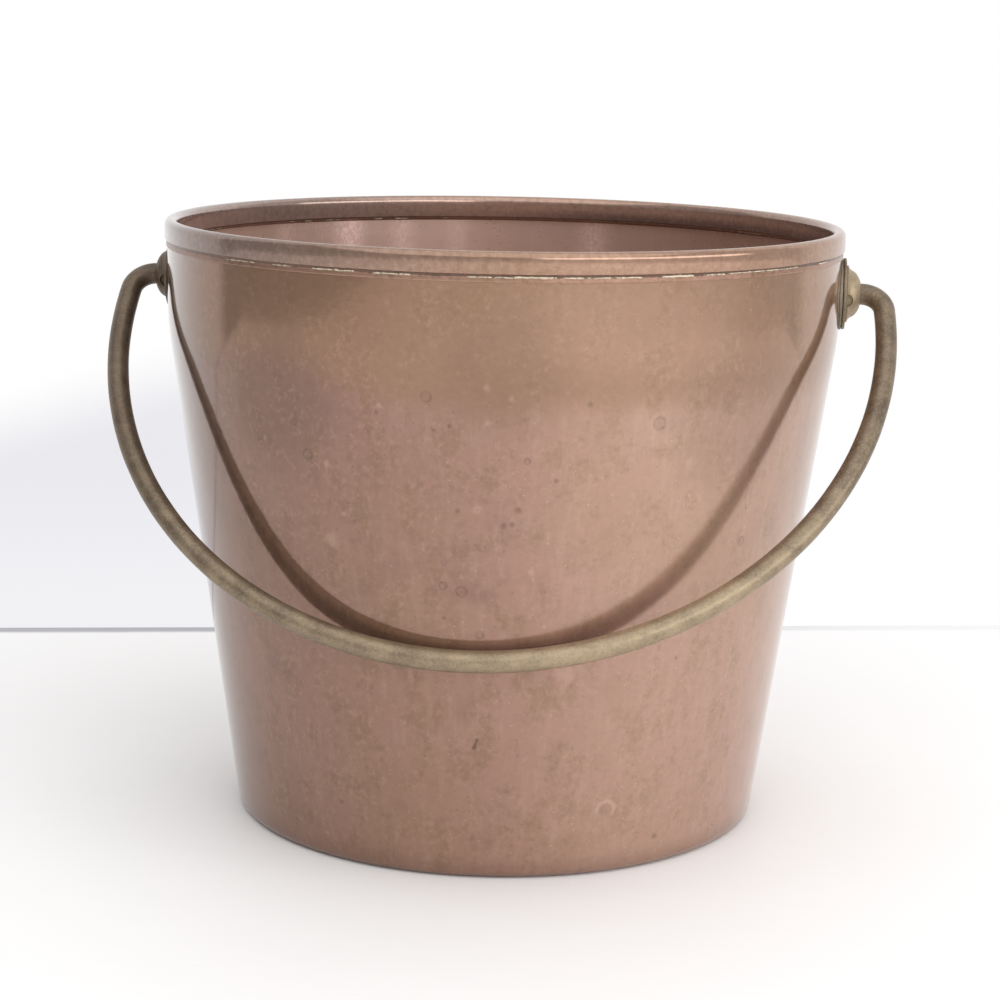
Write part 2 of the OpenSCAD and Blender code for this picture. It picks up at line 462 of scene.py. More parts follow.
class Nodes:
    """A node tree and what fills it"""

    def __init__(self, tree):
        self.tree = tree

    def feed(self, socket, value):
        """Sets a socket's value, or links it to what makes the value"""
        if isinstance(value, Amount):
            value = value.socket
        if isinstance(value, bpy.types.NodeSocket):
            self.tree.links.new(value, socket)
        elif socket.type == "RGBA" and len(value) == 3:
            socket.default_value = (*value, 1.0)
        else:
            socket.default_value = value

    def node(self, kind, settings=None, sockets=None):
        """Adds a node: its settings first, then the values or links of its sockets"""
        made = self.tree.nodes.new(kind)
        for name, value in (settings or {}).items():
            setattr(made, name, value)
        for key, value in (sockets or {}).items():
            self.feed(made.inputs[key], value)
        return made

    def number(self, operation, *values):
        made = self.node("ShaderNodeMath", {"operation": operation}, dict(enumerate(values)))
        return Amount(self, made.outputs["Value"])

    def within(self, value):
        """A number held between 0 and 1"""
        made = self.node("ShaderNodeClamp", None, {"Value": value})
        return Amount(self, made.outputs["Result"])

    def mix(self, share, first, second):
        """A colour between two colours"""
        made = self.node("ShaderNodeMix", {"data_type": "RGBA"}, {0: share, 6: first, 7: second})
        return made.outputs[2]

    def parts(self, vector):
        """The three numbers of a vector"""
        made = self.node("ShaderNodeSeparateXYZ", None, {"Vector": vector})
        return [Amount(self, made.outputs[name]) for name in "XYZ"]


class Finish(Nodes):
    """A material, and the colour that its layers build up"""

    def __init__(self, name, colours, base, **shader):
        self.material = bpy.data.materials.new(name)
        self.material.use_nodes = True
        super().__init__(self.material.node_tree)
        self.shader = self.tree.nodes["Principled BSDF"]
        self.set_shader(**shader)
        self.place = self.node("ShaderNodeTexCoord").outputs["Object"]
        self.x, self.y, self.z = self.parts(self.place)
        self.colours = colours
        self.tone = getattr(colours, base)

    def set_shader(self, **sockets):
        for socket, value in sockets.items():
            self.feed(self.shader.inputs[socket.replace("_", " ").title()], value)

    def layer(self, share, colour):
        """Lays one of the colours over the others, by a share of 0 to 1"""
        self.tone = self.mix(share, self.tone, getattr(self.colours, colour))

    def above(self, value, low, high, share, colour):
        """Lays a colour where a value rises from low to high"""
        self.layer(value.rise(low, high) * share, colour)

    def below(self, value, low, high, share, colour):
        """Lays a colour where a value is low, fading from low to high"""
        self.layer(value.fall(low, high) * share, colour)

    def close(self, **sockets):
        """Links the colour and the other values to the shader"""
        self.set_shader(base_color=self.tone, **sockets)
        return self

    def stretched(self, x=1.0, y=1.0, z=1.0, shift=0.0):
        """Object coordinates scaled along each axis, moved to a different patch of noise"""
        made = self.node("ShaderNodeMapping", {"vector_type": "POINT"},
                {"Vector": self.place, "Scale": (x, y, z), "Location": (shift, shift, shift)})
        return made.outputs["Vector"]

    def noise(self, size, detail, roughness, **stretch):
        """Soft noise with features of about the given size in millimetres"""
        place = self.stretched(**stretch) if stretch else self.place
        made = self.node("ShaderNodeTexNoise", {"noise_dimensions": "3D"},
                {"Vector": place, "Scale": 1 / (size * MM), "Detail": detail,
                "Roughness": roughness})
        return Amount(self, made.outputs["Fac"])

    def cells(self, size, shift):
        """Distance from scattered points, in cells of the given size in millimetres"""
        made = self.node("ShaderNodeTexVoronoi", {"feature": "F1"},
                {"Vector": self.stretched(shift=shift), "Scale": 1 / (size * MM),
                "Randomness": 1.0})
        return Amount(self, made.outputs["Distance"])

    def distance(self, point):
        """Distance from a point of the piece"""
        made = self.node("ShaderNodeVectorMath", {"operation": "DISTANCE"},
                {0: self.place, 1: point})
        return Amount(self, made.outputs["Value"])

    def nearest(self, plan, marks, ragged):
        """Distance from the nearest mark on the wall, in radii of that mark"""
        least = 10.0
        for azimuth, level, radius in marks:
            away = (self.distance(wall_point(plan, azimuth, level)) + ragged) / (radius * MM)
            least = self.number("MINIMUM", away, least)
        return least

    def bump(self, height, depth, under=None):
        """A normal from a height, with the given depth in metres"""
        sockets = {"Height": height, "Distance": depth, "Strength": 1.0}
        if under is not None:
            sockets["Normal"] = under
        return self.node("ShaderNodeBump", None, sockets).outputs["Normal"]


def patinated_copper(name, colours, roughness, specks=True):
    """Colour and roughness that all the copper shares: rose, brown and bronze clouds over a
    fine grain, with small specks; more is added to them before the finish is closed"""
    finish = Finish(name, colours, "copper")
    clouds = finish.noise(85, 4, 0.55)
    patches = finish.noise(30, 5, 0.6, shift=3.1)
    blots = finish.noise(9, 3, 0.55, z=0.7, shift=11.0)
    grain = finish.noise(3.2, 3, 0.6, z=0.12, shift=1.7)
    mottle = finish.noise(4.5, 4, 0.65, shift=5.3)
    finish.above(clouds, 0.36, 0.66, 1.0, "rose")
    finish.above(patches, 0.52, 0.74, 0.55, "bronze")
    finish.above(blots, 0.50, 0.66, 0.50, "bronze")
    finish.above(1 - blots, 0.52, 0.68, 0.35, "rose")
    finish.above(1 - patches, 0.56, 0.80, 0.45, "tarnish")
    finish.above(mottle, 0.50, 0.78, 0.22, "tarnish")
    finish.above(grain, 0.45, 0.80, 0.16, "bright")
    finish.rough = roughness + (patches - 0.5) * 0.06 + (mottle - 0.5) * 0.05
    if specks:
        crowded = finish.noise(22, 3, 0.6, shift=14.2)
        pits = finish.cells(2.6, 2.2).fall(0.06, 0.17)
        pits *= crowded.rise(0.42, 0.58)
        flecks = finish.cells(3.1, 4.9).fall(0.05, 0.15)
        flecks *= (1 - crowded).rise(0.40, 0.56)
        finish.layer(pits * 0.40, "flux_and_shade")
        finish.layer(flecks * 0.45, "bright")
        finish.rough += pits * 0.10
    finish.grain = grain
    finish.mottle = mottle
    finish.blots = blots
    return finish


def body_finish(colours, plan):
    """Outside of the pail's body, with its marks"""
    finish = patinated_copper("body_copper", colours, BODY_ROUGHNESS)
    x, height = finish.x, finish.z
    mottle, blots = finish.mottle, finish.blots
    # Painted shade darkens the left side and painted light brightens the right side
    finish.below(x, -0.11, 0.08, 0.57, "tarnish")
    finish.above(x, 0.0, 0.07, 0.25, "bright")
    drop = x.rise(-0.08, -0.01) * 0.011 + (blots - 0.5) * 0.008
    finish.above(height + drop, plan.knee_z - 10 * MM, plan.knee_z + 3 * MM, 0.66, "bronze")
    finish.below(height, 2 * MM, 10 * MM, 0.35, "tarnish")
    # Painted reflection: the pale grey of the wall, reflected at the left edge
    finish.below(x, -0.125, -0.075, 0.50, "painted_grey")
    for azimuth, level, reach, share in CLOUDY_PATCHES:
        away = finish.distance(wall_point(plan, azimuth, level)) + (blots - 0.5) * 20 * MM
        finish.below(away, reach * 0.3 * MM, reach * MM, share, "tarnish")
    fine = finish.noise(2.4, 5, 0.75, shift=17.0)
    rubbed = 0.4 + 0.9 * blots.rise(0.40, 0.60)
    finish.above(fine, 0.48, 0.66, 0.15 * rubbed, "tarnish")
    finish.above(1 - fine, 0.50, 0.68, 0.12 * rubbed, "bright")
    ragged = (mottle - 0.5) * 0.0010 + (fine - 0.5) * 0.0014
    rings = finish.nearest(plan, WATER_RINGS, ragged)
    outline = rings.rise(0.5, 0.82) * rings.fall(0.92, 1.25)
    broken = 0.35 + mottle.rise(0.40, 0.58)
    finish.below(rings, 0.8, 1.0, 0.13, "flux_and_shade")
    finish.layer(outline * broken * 0.22, "flux_and_shade")
    spots = finish.nearest(plan, DARK_SPOTS, ragged)
    finish.below(spots, 0.1, 1.25, 0.38, "flux_and_shade")
    pale = finish.nearest(plan, PALE_SPOTS, (mottle - 0.5) * 0.003 + (fine - 0.5) * 0.003)
    finish.below(pale, 0.1, 1.1, 0.20, "bright")
    stain = finish.nearest(plan, (ARCH_STAIN,), ragged)
    edge = stain.rise(0.55, 0.85) * stain.fall(0.95, 1.2)
    upper_half = height.rise((ARCH_STAIN[1] - 3) * MM, (ARCH_STAIN[1] + 1) * MM)
    finish.layer(edge * upper_half * 0.32, "bright")
    finish.below(stain, 0.4, 0.9, 0.10, "flux_and_shade")
    azimuth, level, reach = SCRATCH
    middle = wall_point(plan, azimuth, level)
    along = finish.distance(middle) + ragged
    line = finish.number("ABSOLUTE", x - middle.x + (middle.z - height) * 0.35)
    line = line + (mottle - 0.5) * 0.0012 + (fine - 0.5) * 0.003
    scratch = along.fall(reach * 0.6 * MM, reach * MM) * line.fall(0.0003, 0.0009)
    finish.layer(scratch * 0.65, "flux_and_shade")
    normal = finish.bump(mottle, 0.00002, finish.bump(finish.grain, 0.000008))
    soft = x.rise(-0.01, 0.04) * x.fall(0.085, 0.11)
    film = COAT + 0.5 * x.fall(-0.122, -0.09)
    return finish.close(roughness=finish.rough + soft * 0.09, normal=normal, metallic=COPPER_METALLIC,
            coat_weight=film, coat_roughness=COAT_ROUGHNESS)


def inside_finish(colours):
    """Inside of the pail's body, brighter, with turned rings, upright streaks of painted highlight, and
    painted shade on its right side
    """
    finish = patinated_copper("inside_copper", colours, 0.28, specks=False)
    height = finish.z
    rings = finish.noise(3, 2, 0.5, x=0.08, y=0.08, shift=4.4)
    finish.above(rings, 0.5, 0.8, 0.15, "bright")
    finish.layer(0.52, "inside")
    azimuth = finish.number("ARCTAN2", finish.x, 0 - finish.y) * (180 / math.pi)
    fine = finish.noise(1.2, 3, 0.7, z=0.6)
    streak_highlight = 0.6 + 0.8 * fine.rise(0.40, 0.62)
    streak_highlight *= (height + (finish.blots - 0.5) * 0.05).rise(0.09, 0.17)
    # Painted highlights: upright pale streaks round the inside
    for middle, width, share in HIGHLIGHT_STREAKS:
        away = finish.number("ABSOLUTE", azimuth - middle)
        finish.layer(finish.within(away.fall(0.0, width) * share * streak_highlight), "streak_highlight")
    finish.below(height, 2 * MM, 30 * MM, 0.4, "tarnish")
    # Painted shade on the right side of the inside
    finish.above(finish.x, 0.0, 0.09, 0.45, "tarnish")
    return finish.close(roughness=finish.rough, normal=finish.bump(rings, 0.00001), metallic=0.5)


def rim_finish(colours, plan):
    """The rim's strip: browner and rubbed on top, with painted shade on its left side and on its inner
    leg
    """
    finish = patinated_copper("rim_copper", colours, 0.15)
    x, y = finish.x, finish.y
    inner_leg = plan.inner_leg_radius
    radius = finish.number("SQRT", x * x + y * y)
    inner_side = radius.fall(inner_leg + 0.5 * MM, inner_leg + 2 * MM)
    foot = finish.z.fall(plan.inner_leg_z + 1 * MM, plan.inner_leg_z + 4.5 * MM)
    finish.layer(0.45, "bronze")
    finish.layer(0.10, "bright")
    # Painted shade on the left side
    finish.below(x, -0.12, 0.03, 0.70, "painted_grey")
    finish.layer(inner_side * 0.25, "inside")
    # Painted shade on the inner leg: greyer towards the right, and blue grey low down
    finish.layer(inner_side * x.rise(0.0, 0.1) * 0.35, "painted_grey")
    finish.layer(inner_side * foot * x.rise(-0.05, 0.05) * 0.6, "slate")
    speckle = finish.noise(2, 5, 0.75, shift=17.0)
    finish.above(speckle, 0.48, 0.64, 0.28, "tarnish")
    finish.above(1 - speckle, 0.50, 0.66, 0.18, "bright")
    film = 0.1 + 0.5 * x.fall(-0.12, -0.08)
    return finish.close(roughness=finish.rough, normal=finish.bump(finish.grain, 0.00001),
            metallic=COPPER_METALLIC, coat_weight=film, coat_roughness=COAT_ROUGHNESS)


def seam_finish(name, colours, groove_z, depth):
    """Tarnished skirt of solder below the rim, darkest in the groove under its edge, with flux residue
    and painted shade there, and painted shade on its left side
    """
    finish = patinated_copper(name, colours, 0.26)
    stain = finish.noise(2.2, 4, 0.6, shift=6.1)
    finish.above(stain, 0.48, 0.72, 0.4, "flux_and_shade")
    # The dark line in the groove: flux residue and painted shade
    groove = finish.z + (stain - 0.5) * 0.0008
    finish.above(groove, groove_z - 1.05 * MM, groove_z - 0.75 * MM, depth, "flux_and_shade")
    # Painted shade on the left side
    finish.below(finish.x, -0.10, 0.0, 0.55, "tarnish")
    return finish.close(roughness=finish.rough, normal=finish.bump(stain, 0.0001), metallic=0.7)


def solder_finish(name, colours, dirt):
    """Cream solder with a grey green bloom, dark pits and some dirt all over, and painted shade on the
    left side
    """
    finish = Finish(name, colours, "solder", metallic=0.35)
    bloom = finish.noise(6, 4, 0.6)
    pits = finish.noise(1.2, 3, 0.7, shift=2.9)
    finish.above(bloom, 0.45, 0.68, 0.3 + 0.5 * dirt, "verdigris")
    # Painted shade on the left side, laid with the grime colour
    shade = finish.x.fall(-0.11, -0.03)
    finish.layer(finish.within(shade * 0.45 + dirt * (1 - pits).rise(0.36, 0.50)), "grime_and_shade")
    finish.above(pits, 0.50, 0.62, 0.80, "flux_and_shade")
    return finish.close(roughness=0.42 + (pits - 0.5) * 0.3, normal=finish.bump(pits, 0.00012))


def brass_finish(name, colours, wear_and_light, roughness, grip=None):
    """Cast or drawn brass: brown tarnish with a sandy grain, rubbed where it is handled;
    below the height grip it is worn, and above it less worn; painted shade darkens the left side,
    and on the ears painted light brightens the right"""
    finish = Finish(name, colours, "brown_brass", metallic=0.55)
    x, height = finish.x, finish.z
    shade = 0.0
    # On the ears, wear and painted light grow towards the right, leaving the left ear in painted shade
    if grip is None:
        wear_and_light = 0.05 + wear_and_light * x.rise(-0.1, 0.1)
    else:
        wear_and_light *= height.fall(grip, grip + 0.06)
        shade = x.fall(-0.145, -0.09)
        # Painted shade: less brightening towards the handle's left side
        wear_and_light *= 0.30 + 0.70 * x.rise(-0.06, 0.05)
    tarnish = finish.noise(9, 5, 0.65)
    sand = finish.noise(0.9, 3, 0.65, shift=1.3)
    smears = finish.noise(6, 3, 0.55, x=0.25, shift=8.2)
    finish.layer(tarnish.rise(0.30, 0.75) * 0.35 + wear_and_light * 0.65, "brass")
    finish.above(smears, 0.52, 0.76, 0.35, "flux_and_shade")
    finish.above(sand, 0.48, 0.66, 0.22, "brass")
    finish.above(1 - sand, 0.48, 0.66, 0.24, "brown_brass")
    # Painted shade at the handle's left bend near the ear, and along its left side
    left_bend = x.fall(-0.118, -0.10) * x.rise(-0.1395, -0.133)
    finish.layer(left_bend * height.rise(0.172, 0.182) * 0.55, "flux_and_shade")
    finish.layer(shade * 0.38, "flux_and_shade")
    rough = roughness + (tarnish - 0.5) * 0.16 + (sand - 0.5) * 0.08
    return finish.close(roughness=rough, normal=finish.bump(sand, 0.00005))


def iron_finish(colours):
    """Oxidised iron of the hidden hoop"""
    finish = Finish("hoop_iron", colours, "iron", metallic=0.5)
    rust = finish.noise(5, 4, 0.6)
    finish.above(rust, 0.4, 0.7, 1.0, "tarnish")
    return finish.close(roughness=0.6 + (rust - 0.5) * 0.3, normal=finish.bump(rust, 0.0001))


# ---- pieces


def body_points(sizes, plan):
    """The outside of the body from the middle of its base to the top, hidden in the rim"""
    slope = plan.taper
    corner = (plan.base_radius - sizes.corner_radius * math.tan(math.pi / 4 - slope / 2),
            sizes.corner_radius)
    knee = (plan.collar_radius - sizes.knee_radius,
            plan.knee_z + sizes.knee_radius * math.tan(slope / 2))
    corner_arc = arc(corner, sizes.corner_radius, -math.pi / 2, -slope, 6)
    knee_arc = arc(knee, sizes.knee_radius, -slope, 0, 8)
    top = (plan.collar_radius, plan.fold_z)
    middle = (0.0, 0.0)
    return ([middle] + between(middle, corner_arc[0], 14) + corner_arc
            + between(corner_arc[-1], knee_arc[0], 40) + knee_arc
            + between(knee_arc[-1], top, 6) + [top])


def rim_points(sizes, plan):
    """Closed section of the folded rim: outer leg, rounded top, inner leg"""
    centre = (plan.rim_radius - plan.fold_radius, plan.fold_z)
    sheet = sizes.rim_sheet
    outer_foot = (plan.rim_radius - sheet / 2, plan.outer_leg_z + sheet / 2)
    inner_foot = (plan.inner_leg_radius + sheet / 2, plan.inner_leg_z + sheet / 2)
    line = arc(outer_foot, sheet / 2, -math.pi, 0, 6)
    line += arc(centre, plan.fold_radius, 0, math.pi, 20)
    line += arc(inner_foot, sheet / 2, -math.pi, 0, 6)
    line += arc(centre, plan.fold_radius - sheet, math.pi, 0, 12)
    return line + [line[0]]


def skirt_points(plan):
    """Closed section of the solder skirt below the rim's outer leg"""
    skin = plan.collar_radius + 0.05 * MM
    top = plan.outer_leg_z
    foot = plan.skirt_z
    thin = 0.30 * MM
    line = [(skin, top), (skin + 0.42 * MM, top), (skin + 0.34 * MM, top - 0.25 * MM),
            (skin + 0.26 * MM, top - 0.6 * MM), (skin + thin * 0.8, top - 1.3 * MM),
            (skin + thin, foot + 0.55 * MM), (skin + thin * 0.95, foot + 0.25 * MM),
            (skin + thin * 0.6, foot + 0.05 * MM), (skin, foot)]
    return line + [line[0]]


def inner_seam_points(sizes, plan):
    """Closed section of the solder below the rim's inner leg"""
    skin = plan.collar_radius - sizes.sheet - 0.05 * MM
    lip = plan.inner_leg_radius + sizes.rim_sheet * 0.25
    top = plan.inner_leg_z
    foot = plan.inner_solder_z
    line = [(skin, top), (lip, top), (lip + 0.1 * MM, top - 0.5 * MM),
            ((skin + lip) / 2, top - 0.9 * MM), (skin - 0.5 * MM, foot + 0.3 * MM), (skin, foot)]
    return line + [line[0]]


def solder_seam(name, points, sizes):
    """An uneven ring of solder below one leg of the rim"""
    seam = turn_round_pail(name, points, 2 * sizes.turn_steps)
    beat_inwards(seam, 5 * MM, 0.10 * MM)
    smooth(seam)
    return seam


def solder_runs(name, radius, height, runs, thickness):
    """Runs of solder along a seam: each is a small ring swept round the pail between two
    azimuths in degrees, with closed, thinner ends"""
    tip = 0.4
    tip_step = 0.35 * MM
    draw = random.Random(7)
    piece = start_point(name, (0, 0, 0))
    bpy.ops.mesh.delete(type="VERT")
    for start, end in runs:
        rise = draw.uniform(-0.12, 0.12) * MM
        swell = thickness * draw.uniform(0.6, 1.1)
        first, last = (round_pail(radius, azimuth, height + rise) for azimuth in (start, end))
        bpy.ops.mesh.primitive_circle_add(vertices=8, radius=swell * tip, fill_type="NGON",
                location=first, rotation=(0, math.pi / 2, math.radians(start)))
        way = round_pail(1, start + 90, 0)
        extrude(way * tip_step)
        bpy.ops.transform.resize(value=(1 / tip,) * 3, center_override=first + way * tip_step)
        steps = max(2, round((end - start) / RUN_STEP))
        bpy.ops.mesh.spin(steps=steps, angle=math.radians(end - start), center=(0, 0, 0), axis=(0, 0, -1))
        way = round_pail(1, end + 90, 0)
        extrude(way * tip_step)
        bpy.ops.transform.resize(value=(tip,) * 3, center_override=last + way * 2 * tip_step)
    leave_closed()
    apply_modifier(piece, "DISPLACE", texture=unevenness(name, 1.3 * MM), strength=thickness * 1.6,
            mid_level=0.62, texture_coords="LOCAL")
    smooth(piece, 60)
    return piece


def scattered_runs(start, end, seed):
    """Runs of solder and the gaps between them, in degrees, where none is known"""
    draw = random.Random(seed)
    runs = []
    at = start
    while at < end - 4:
        run = draw.uniform(1.5, 11)
        runs.append((at, min(at + run, end)))
        at += run + draw.uniform(1, 5)
    return tuple(runs)


def boss_points(sizes, height, brim_radius):
    """Closed section of the hollow boss: brim, bell, end wall with its bore"""
    hollow = sizes.hollow_diameter / 2
    bore = sizes.rod / 2 + sizes.rod_clearance
    brim = 0.5 * MM
    floor = height - sizes.face_thickness
    bell = [(height * out, bore + (brim_radius - bore) * up) for out, up in BELL]
    return ([(0, hollow)] + between((0, hollow), (0, brim_radius), 3) + [(0, brim_radius - 0.1 * MM)]
            + [(0.12 * MM, brim_radius), (brim - 0.12 * MM, brim_radius)] + bell
            + [(height - 0.15 * MM, bore), (floor, bore), (floor, hollow), (0, hollow)])


def disc_points(radius, thickness, edge):
    """Section of a disc with a rounded edge, from the axis and back to it"""
    rings = 10
    low, high = (0.0, 0.0), (thickness, 0.0)
    return ([low] + between(low, (0.0, radius - edge), rings) + [(0.0, radius - edge)]
            + [(edge * 0.3, radius - edge * 0.3), (edge, radius), (thickness - edge, radius)]
            + [(thickness - edge * 0.3, radius - edge * 0.3), (thickness, radius - edge)]
            + between((thickness, radius - edge), high, rings) + [high])


def ear_plate(sizes, plan):
    low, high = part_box("right_ear_plate")
    points = disc_points((high.y - low.y) / 2, high.x - low.x, 0.25 * MM)
    piece = turn_round_pivot("right_plate", points, low.x, plan.pivot_z)
    beat_inwards(piece, 4 * MM, 0.16 * MM)
    smooth(piece, 45)
    return piece


def ear_boss(sizes, plan):
    low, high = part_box("right_ear_boss")
    brim_radius = (high.z - low.z) / 2
    points = boss_points(sizes, high.x - low.x, brim_radius)
    piece = turn_round_pivot("right_boss", points, low.x, plan.pivot_z)
    clear_selection()
    reach = 5 * MM
    floor = sizes.hollow_diameter / 2 + sizes.arch_floor
    bpy.ops.mesh.primitive_cylinder_add(vertices=48, radius=sizes.arch_radius, depth=reach,
            location=(low.x, -floor - reach / 2, plan.pivot_z - sizes.arch_drop),
            rotation=(math.pi / 2, 0, 0))
    cut_away(piece, bpy.context.object)
    smooth(piece, 35)
    return piece


def plate_solder(sizes, plan):
    """Uneven solder between the flat plate and the round wall"""
    low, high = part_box("right_plate_solder")
    radius = (high.z - low.z) / 2
    depth = high.x - low.x + 0.8 * MM
    points = disc_points(radius, depth, 0.3 * MM)
    piece = turn_round_pivot("right_plate_solder_seam", points, high.x - depth, plan.pivot_z,
            2 * EAR_STEPS)
    beat_inwards(piece, 2.0 * MM, 0.40 * MM)
    wall = turn_round_pail("wall", [(0, 0)] + body_points(sizes, plan)[1:] + [(0, plan.fold_z), (0, 0)],
            sizes.turn_steps)
    cut_away(piece, wall)
    smooth(piece, 45)
    return piece


def boss_solder(sizes, plan):
    """Solder that was squeezed out under the boss's brim"""
    low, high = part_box("right_boss_solder")
    brim_radius = (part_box("right_ear_boss")[1].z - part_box("right_ear_boss")[0].z) / 2
    hollow = sizes.hollow_diameter / 2
    thickness = high.x - low.x
    line = ([(0, hollow)] + between((0, hollow), (0, brim_radius), 6) + [(0, brim_radius)]
            + [(thickness, brim_radius)] + between((thickness, brim_radius), (thickness, hollow), 6)
            + [(thickness, hollow), (0, hollow)])
    piece = turn_round_pivot("right_boss_solder_seam", line, low.x, plan.pivot_z)
    beat_inwards(piece, 3 * MM, 0.02 * MM)
    smooth(piece, 45)
    return piece


def move_all(piece, matrix):
    """Turns and moves a whole mesh in edit mode"""
    mesh = bmesh.from_edit_mesh(piece.data)
    bmesh.ops.transform(mesh, matrix=matrix, verts=mesh.verts)
    bmesh.update_edit_mesh(piece.data)


def bend_rod(sizes, plan, lines):
    """The rod from head to head: straight, bend, grip, bend and straight, made with its
    plane lying flat and then turned to its rest"""
    clear_selection()
    dome = 0.35 * MM
    bpy.ops.mesh.primitive_circle_add(vertices=40, radius=sizes.head / 2, fill_type="NGON",
            location=(0, 0, 0), enter_editmode=True)
    piece = name_piece("swing_handle")
    bpy.ops.mesh.select_all(action="SELECT")
    move_all(piece, Matrix.Translation((lines.head_x, 0, 0)) @ Matrix.Rotation(math.pi / 2, 4, "Y"))
    extrude((sizes.head_thickness - dome, 0, 0))
    extrude((dome, 0, 0))
    share = sizes.rod / sizes.head
    bpy.ops.transform.resize(value=(1, share, share), center_override=(0, 0, 0))
    steps = 6
    run = lines.bend_x - lines.head_x - sizes.head_thickness
    for _ in range(steps):
        extrude((run / steps, 0, 0))
    sweep = math.pi / 2 - lines.bend_start
    for rings, turned, centre in (
            (14, sweep, (lines.bend_x, -sizes.bend_radius, 0)),
            (150, math.pi + 2 * lines.bend_start, (0, -lines.grip_drop, 0)),
            (14, sweep, (-lines.bend_x, -sizes.bend_radius, 0))):
        bpy.ops.mesh.spin(steps=rings, angle=turned, center=centre, axis=(0, 0, 1))
    for _ in range(steps):
        extrude((run / steps, 0, 0))
    bpy.ops.transform.resize(value=(1, 1 / share, 1 / share), center_override=(0, 0, 0))
    extrude((dome, 0, 0))
    extrude((sizes.head_thickness - dome, 0, 0))
    lean = Matrix.Rotation(math.pi / 2 - sizes.rest_angle, 4, "X")
    move_all(piece, Matrix.Translation((0, 0, plan.pivot_z)) @ lean)
    leave_closed()
    return piece


# ---- stage


def make_table(stage, colours):
    """A pale table that ends in a straight edge behind the pail"""
    clear_selection()
    depth = stage.table_back + stage.table_front
    bpy.ops.mesh.primitive_plane_add(size=1, enter_editmode=True, location=(0, 0, 0))
    piece = name_piece("table_top")
    bpy.ops.transform.resize(value=(2 * stage.table_reach, depth, 1), center_override=(0, 0, 0))
    bpy.ops.transform.translate(value=(0, stage.table_back - depth / 2, 0))
    bpy.ops.transform.rotate(value=-stage.table_turn, orient_axis="Z", center_override=(0, 0, 0))
    bpy.ops.object.mode_set(mode="OBJECT")
    finish = Finish("table", colours, "floor", roughness=0.6)
    fibre = finish.noise(4, 4, 0.6, x=0.15)
    grey = (0.7, 0.7, 0.72)
    finish.tone = finish.mix(fibre.rise(0.4, 0.8) * 0.05, finish.tone, grey)
    behind = finish.y * math.cos(stage.table_turn) - finish.x * math.sin(stage.table_turn)
    behind += (finish.noise(50, 3, 0.6) - 0.5) * stage.edge_strip * 0.35
    strip = stage.table_back - stage.edge_strip
    near_edge = behind.rise(strip, strip + stage.edge_strip / 2)
    faded = 0.15 + 0.85 * finish.x.fall(-0.1, 0.2)
    finish.layer(near_edge * faded, "edge")
    finish.close()
    paint(piece, finish)


def make_surroundings(stage):
    """A white room behind the pail that darkens towards the front and the left"""
    world = bpy.data.worlds.new("room")
    bpy.context.scene.world = world
    world.use_nodes = True
    room = Nodes(world.node_tree)
    east, north, up = room.parts(room.node("ShaderNodeTexCoord").outputs["Generated"])
    sine, cosine = math.sin(stage.camera_azimuth), math.cos(stage.camera_azimuth)
    across = east * cosine + north * sine
    behind = north * cosine - east * sine
    azimuth = room.number("ARCTAN2", across, 0 - behind) * (180 / math.pi)
    left = azimuth.fall(-112, -104)
    wall = room.within(left + azimuth.rise(112, 122))
    front = 0.40 + 0.20 * azimuth.rise(-50, 50)
    slant = up + 0.147 + (-0.137 - across) * 0.29
    shade = (0 - across).rise(-0.02, 0.06) * slant.fall(-0.018, 0.018) * left
    shade *= 1 - 0.35 * (0 - up).rise(0.175, 0.235)
    white, shaded = (1.0, 1.0, 1.0), (0.825, 0.818, 0.86)
    background = world.node_tree.nodes["Background"]
    room.feed(background.inputs["Strength"], front + (1 - front) * wall)
    room.feed(background.inputs["Color"], room.mix(shade, white, shaded))


def lamp(name, azimuth, elevation, distance, size, power):
    """A soft lamp, size[0] wide and size[1] high, that faces the pail, unseen by the camera"""
    rise = math.radians(elevation)
    way = round_pail(math.cos(rise), azimuth, math.sin(rise))
    clear_selection()
    bpy.ops.object.light_add(type="AREA", location=way * distance + Vector((0, 0, 0.2)))
    made = bpy.context.object
    made.name = name
    made.rotation_euler = way.to_track_quat("Z", "Y").to_euler()
    made.data.shape = "RECTANGLE"
    made.data.size, made.data.size_y = size
    made.data.energy = power
    made.visible_camera = False


def make_lamps(stage):
    """A low wide window on the right and a broad soft fill above"""
    front = math.degrees(stage.camera_azimuth)
    lamp("window", azimuth=front + 48, elevation=13, distance=2.0, size=(2.9, 0.72), power=18.0)
    lamp("fill", azimuth=front, elevation=58, distance=2.4, size=(4.2, 3.6), power=46.0)


def make_camera(stage):
    """The camera, at its own azimuth round the pail"""
    clear_selection()
    azimuth = stage.camera_azimuth
    place = round_pail(stage.camera_distance, math.degrees(azimuth), stage.camera_height)
    bpy.ops.object.camera_add(location=place)
    camera = bpy.context.object
    turn = (Matrix.Rotation(azimuth, 3, "Z") @ Matrix.Rotation(math.pi / 2 - stage.camera_pitch, 3, "X")
            @ Matrix.Rotation(stage.camera_roll, 3, "Z"))
    camera.rotation_euler = turn.to_euler()
    camera.data.lens = stage.lens
    camera.data.clip_start = 0.01
    bpy.context.scene.camera = camera


# ---- operators


def settings(context):
    """The sizes, the colours and the plan that the operators share"""
    sizes = context.scene.pail_sizes
    return sizes, context.scene.pail_colours, pail_plan(sizes)


